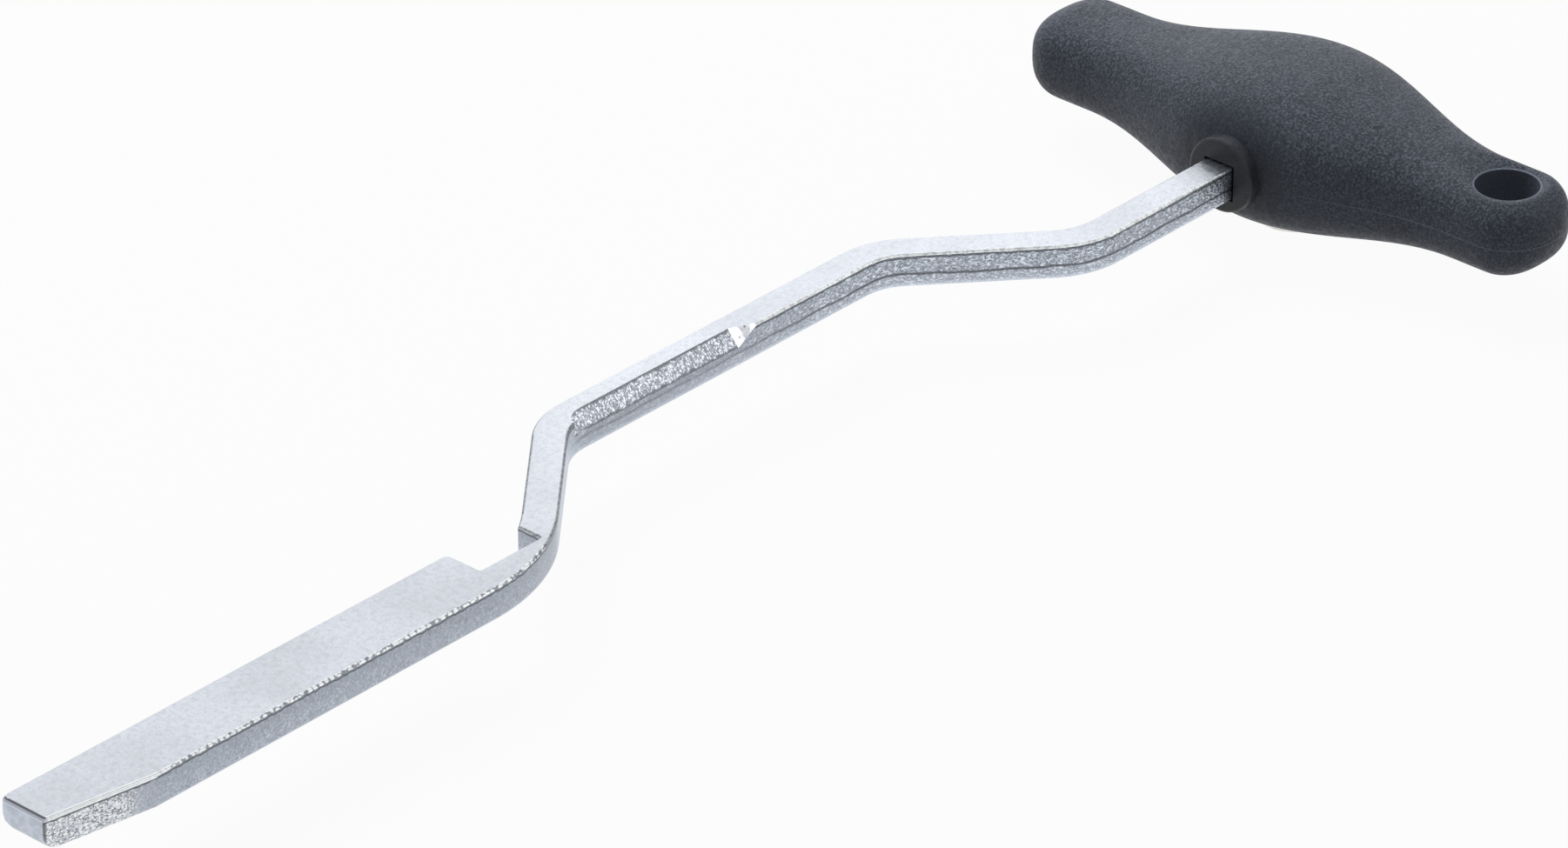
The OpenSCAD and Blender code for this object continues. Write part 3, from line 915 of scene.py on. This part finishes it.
class LEVER_OT_grip(bpy.types.Operator):
    """Builds the swelling T-grip with its hanging hole"""

    bl_idname = "lever.grip"
    bl_label = "Handle grip"

    def execute(self, context):
        size, finish = context.scene.lever_handle, context.scene.lever_finish
        half = GRIP_HIGH - HANDLE - Vector((0, 0, size.hub_rise))
        cap = size.cap_len
        straight = half.y - cap

        def section(y):
            reach = abs(y)
            swell = 0.5 + 0.5 * math.cos(math.pi * y / size.hub_reach) if reach < size.hub_reach else 0.0
            dome = math.sqrt(max(0.0, 1 - ((reach - straight) / cap) ** 2)) if reach > straight else 1.0
            wide = size.end_w / 2 + (half.x - size.end_w / 2) * swell
            tall = size.end_h / 2 + (half.z - size.end_h / 2) * swell
            return dome * wide, dome * tall, size.hub_rise * swell

        def squared(value):
            return math.copysign(abs(value) ** (2 / size.power), value)

        bm = bmesh.new()
        bmesh.ops.create_uvsphere(bm, u_segments=GRIP_STEPS, v_segments=GRIP_SECTIONS, radius=1)
        for vert in bm.verts:
            heading = math.atan2(vert.co.y, vert.co.x)
            y = half.y * vert.co.z
            wide, tall, rise = section(y)
            across, above = wide * squared(math.cos(heading)), tall * squared(math.sin(heading))
            vert.co = HANDLE + Vector((across, y, above + rise))
        bmesh.ops.remove_doubles(bm, verts=bm.verts, dist=WELD)
        mesh = cut(finish_mesh(bm, "grip"), self.dish_tool(size, half))

        def setup(work):
            remesh = work.modifiers.new("Even faces", "REMESH")
            remesh.mode = "VOXEL"
            remesh.voxel_size = size.grain
            smooth = work.modifiers.new("Soft dish", "SMOOTH")
            smooth.factor = 0.5
            smooth.iterations = 3

        mesh = evaluated(mesh, setup)
        # The sharp-edged openings are cut last, so that their edges stay clean.
        openings = core_body(size), self.seat_tool(size, half), self.bore_tool(size, half)
        mesh = cleaned(cut(mesh, *openings))
        mesh.shade_smooth()
        mesh.set_sharp_from_angle(angle=math.radians(50))
        plastic = grained_plastic(finish.grip, self.hang_place(size, half), size.hang_d / 2)
        add_piece("t_grip", mesh, [plastic], "handle_grip")
        return {"FINISHED"}

    def hang_place(self, size, half):
        """Middle of the hanging hole."""
        return HANDLE + Vector((0, size.hang_inset - half.y, 0))

    def dish_tool(self, size, half):
        """Shallow dishes round both ends of the hanging hole, with a narrower pilot hole between them."""
        hole, radius, slope = size.hang_d / 2, size.dish_r, size.dish_slope
        top, pilot = size.end_h / 2, hole - 0.7 * MM
        run_out, steps = 8 * MM, 12
        steep = math.acos(1 - size.dish_drop / radius)
        level = hole + radius * math.sin(steep)
        upper = [(pilot, top - size.dish_drop - (hole - pilot) * math.tan(steep))]
        for i in range(steps + 1):
            turn = steep + (slope - steep) * i / steps
            upper.append((level - radius * math.sin(turn), top - radius * (1 - math.cos(turn))))
        rim = upper[-1][0] + run_out
        upper.append((rim, upper[-1][1] + run_out * math.tan(slope)))
        lower = [(wide, -high) for wide, high in reversed(upper)]
        profile = [(0, -half.z), (rim, -half.z), *lower, *upper, (rim, half.z), (0, half.z)]
        return revolved(profile, UP, self.hang_place(size, half), HOLE_STEPS)

    def bore_tool(self, size, half):
        """Straight wall of the hanging hole."""
        return revolved(rod(size.hang_d / 2, -half.z, half.z), UP, self.hang_place(size, half), HOLE_STEPS)

    def seat_tool(self, size, half):
        """Screw hole with the head's seat at the underside."""
        hole, seat = size.screw_d / 2 + size.screw_gap, size.head_d / 2 + size.seat_gap
        seat_z = SCREW_LOW.z + size.head_h - HANDLE.z
        profile = ((0, -2 * half.z), (seat, -2 * half.z), (seat, seat_z), (hole, seat_z), (hole, 0), (0, 0))
        return revolved(profile, UP, HANDLE, SCREW_STEPS)


class LEVER_OT_screw(bpy.types.Operator):
    """Builds the low-head screw that locks the tang"""

    bl_idname = "lever.screw"
    bl_label = "Lock screw"

    def execute(self, context):
        size, finish = context.scene.lever_handle, context.scene.lever_finish
        origin = Vector((HANDLE.x, HANDLE.y, SCREW_LOW.z))
        head, shank, top = size.head_d / 2, size.screw_d / 2, SCREW_HIGH.z - SCREW_LOW.z
        profile = [(0, 0), *rounded_rim(head, 0, size.head_r, 8)]
        profile += [(head, size.head_h), (shank, size.head_h), (shank, top), (0, top)]
        mesh = revolved(profile, UP, origin, SCREW_STEPS)
        bm = bmesh.new()
        key_r = size.key_af / 2 / math.cos(math.pi / 6)
        bmesh.ops.create_circle(bm, cap_ends=True, segments=6, radius=key_r)
        bmesh.ops.translate(bm, verts=bm.verts, vec=origin - UP * OVERSHOOT)
        raised(bm, UP * (size.key_d + OVERSHOOT))
        mesh = cleaned(cut(mesh, finish_mesh(bm, "key")), math.radians(1))
        piece = add_piece("flange_screw", mesh, [screw_zinc(finish.screw)], "lock_screw")
        round_edges(piece, size.screw_edge_r, 2)
        return {"FINISHED"}


# Place and side of each lamp in metres, its power in watts, and whether the metal mirrors it.
# Seen from above, the bare metal would only mirror the top lamp and turn plain white.
LAMPS = {
    "key": ((0.9, 0.82, 0.75), 1.4, 3.3, True),
    "side": ((0.9, -0.8, 0.75), 0.7, 1.2, True),
    "front": ((-0.05, -1.0, 0.85), 0.5, 0.6, True),
    "top": ((0.1, 0.65, 1.15), 0.9, 18, False),
}
# Strength of the surrounding light, and what is added where it is seen or mirrored.
WORLD_COLOUR, WORLD_LIGHT, WORLD_SEEN = (0.97, 0.98, 1.0, 1), 0.17, 0.43
# The floor's own shade, the share of white over it where it is seen, its half width and its gap.
FLOOR_SHADE, FLOOR_WHITE, FLOOR_REACH, FLOOR_GAP = (0.42, 0.42, 0.43, 1), 0.95, 8, 0.1 * MM
CAMERA_TARGET = Vector((HANDLE.x - 133.2 * MM, HANDLE.y - 5.0 * MM, BAR_HIGH.z))


class LEVER_OT_stage(bpy.types.Operator):
    """Sets the pale floor, the soft lights and the camera"""

    bl_idname = "lever.stage"
    bl_label = "Stage"

    def execute(self, context):
        scene, stage = context.scene, context.scene.lever_stage
        scene.view_settings.view_transform = "Standard"
        self.floor()
        self.world(scene)
        for name, settings in LAMPS.items():
            self.lamp(name, *settings)
        flat = math.cos(stage.elevation)
        back = Vector((
            math.sin(stage.azimuth) * flat, -math.cos(stage.azimuth) * flat, math.sin(stage.elevation)
        ))
        data = bpy.data.cameras.new("camera")
        data.lens = stage.lens
        scene.camera = self.aimed(data, CAMERA_TARGET + back * stage.distance, back)
        return {"FINISHED"}

    def aimed(self, data, place, back):
        """Lamp or camera at a place, looking away from the way back."""
        made = placed(data.name, data)
        made.location = place
        made.rotation_mode = "QUATERNION"
        made.rotation_quaternion = (-back).to_track_quat("-Z", "Y")
        return made

    def lamp(self, name, place, side, power, mirrored):
        """Square softbox that faces the middle of the tool."""
        data = bpy.data.lights.new(name, "AREA")
        data.size = side
        data.energy = power
        self.aimed(data, place, Vector(place)).visible_glossy = mirrored

    def floor(self):
        """White floor that keeps the object's shadow."""
        bm = bmesh.new()
        bmesh.ops.create_grid(bm, x_segments=1, y_segments=1, size=FLOOR_REACH)
        bmesh.ops.translate(bm, verts=bm.verts, vec=(0, 0, CAD_LOW.z - FLOOR_GAP))
        piece = placed("floor", finish_mesh(bm, "floor"))
        material = bpy.data.materials.new("floor_white")
        material.use_nodes = True
        tree = material.node_tree
        tree.nodes.clear()
        share = {0: self.seen(tree), 1: FLOOR_WHITE}
        surfaces = {
            0: add_node(tree, "ShaderNodeMath", share, operation="MULTIPLY").outputs[0],
            1: add_node(tree, "ShaderNodeBsdfDiffuse", {"Color": FLOOR_SHADE}).outputs[0],
            2: add_node(tree, "ShaderNodeEmission").outputs[0],
        }
        mixed = add_node(tree, "ShaderNodeMixShader", surfaces)
        add_node(tree, "ShaderNodeOutputMaterial", {"Surface": mixed.outputs[0]})
        piece.data.materials.append(material)

    def seen(self, tree):
        """1 for the rays that show the background: from the camera, by reflection or through glass."""
        path = add_node(tree, "ShaderNodeLightPath").outputs
        found = path["Is Camera Ray"]
        for name in ("Is Glossy Ray", "Is Transmission Ray"):
            either = add_node(tree, "ShaderNodeMath", {0: found, 1: path[name]}, operation="MAXIMUM")
            found = either.outputs[0]
        return found

    def world(self, scene):
        """Even soft light from all round, and a paler surrounding for the metal to mirror."""
        world = bpy.data.worlds.new("studio")
        scene.world = world
        world.use_nodes = True
        tree = world.node_tree
        light = tree.nodes["Background"].inputs
        light["Color"].default_value = WORLD_COLOUR
        inputs = {0: self.seen(tree), 1: WORLD_SEEN, 2: WORLD_LIGHT}
        strength = add_node(tree, "ShaderNodeMath", inputs, operation="MULTIPLY_ADD")
        tree.links.new(strength.outputs[0], light["Strength"])


class LEVER_PT_panel(bpy.types.Panel):
    """Lists the lever's sizes, finishes and builders"""

    bl_idname = "LEVER_PT_panel"
    bl_label = "Gearbox assembly lever"
    bl_space_type = "VIEW_3D"
    bl_region_type = "UI"
    bl_category = "Lever"

    def draw(self, context):
        for name in GROUPS:
            group = getattr(context.scene, name)
            box = self.layout.box()
            for key in group.__annotations__:
                box.prop(group, key)
        for operator in BUILDERS:
            self.layout.operator(operator.bl_idname)


GROUPS = {
    "lever_bar": LeverBarSizes,
    "lever_handle": LeverHandleSizes,
    "lever_finish": LeverFinishes,
    "lever_stage": LeverStageSettings,
}
BUILDERS = (LEVER_OT_bar, LEVER_OT_core, LEVER_OT_grip, LEVER_OT_screw, LEVER_OT_stage)
CLASSES = (*GROUPS.values(), *BUILDERS, LEVER_PT_panel)


def register():
    for cls in CLASSES:
        bpy.utils.register_class(cls)
    for name, group in GROUPS.items():
        setattr(bpy.types.Scene, name, PointerProperty(type=group))


def unregister():
    for name in GROUPS:
        delattr(bpy.types.Scene, name)
    for cls in reversed(CLASSES):
        bpy.utils.unregister_class(cls)


def main():
    register()
    bpy.ops.lever.bar()
    bpy.ops.lever.core()
    bpy.ops.lever.grip()
    bpy.ops.lever.screw()
    bpy.ops.lever.stage()


if __name__ == "__main__":
    main()
